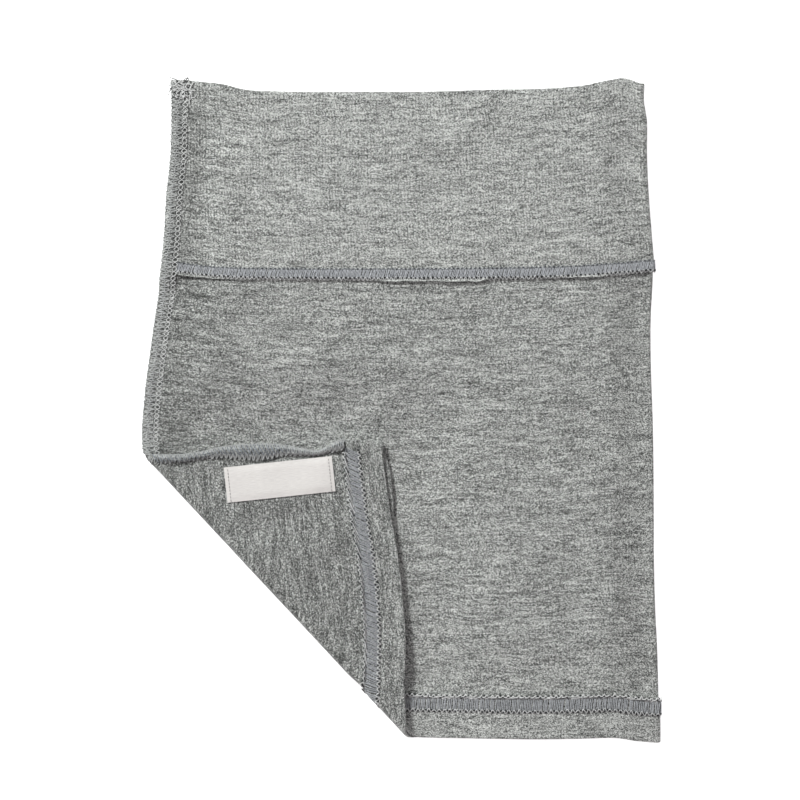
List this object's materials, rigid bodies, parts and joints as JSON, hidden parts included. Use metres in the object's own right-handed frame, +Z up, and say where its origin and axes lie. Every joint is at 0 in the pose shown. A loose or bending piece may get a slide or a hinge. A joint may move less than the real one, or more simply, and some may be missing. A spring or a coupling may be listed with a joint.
{
  "type": "hijab underscarf cap",
  "caption": "Soft jersey tube worn as a cap under a headscarf, with a doubled face band, laid flat inside out with one lower corner turned up.",
  "frame": {"origin": "on the surface that the cap lies on, under the middle of its outline", "axes": "+X to the right, +Y from the hem to the face band's folded edge, +Z up from the surface"},
  "size_m": [0.2384, 0.3052, 0.0081],
  "materials": {
    "heather_jersey": "matte heather grey single jersey, purl side out, with a slight fuzz",
    "sewing_thread": "textured grey overlock and coverstitch thread, slightly bluish, with a soft sheen",
    "woven_label": "ivory satin-woven label, bare of lettering"
  },
  "bodies": {
    "root": {"body": "heather_jersey", "band": "heather_jersey", "band_seam": "sewing_thread", "hem": "heather_jersey", "side_seam": "sewing_thread", "label": "woven_label"}
  },
  "joints": []
}
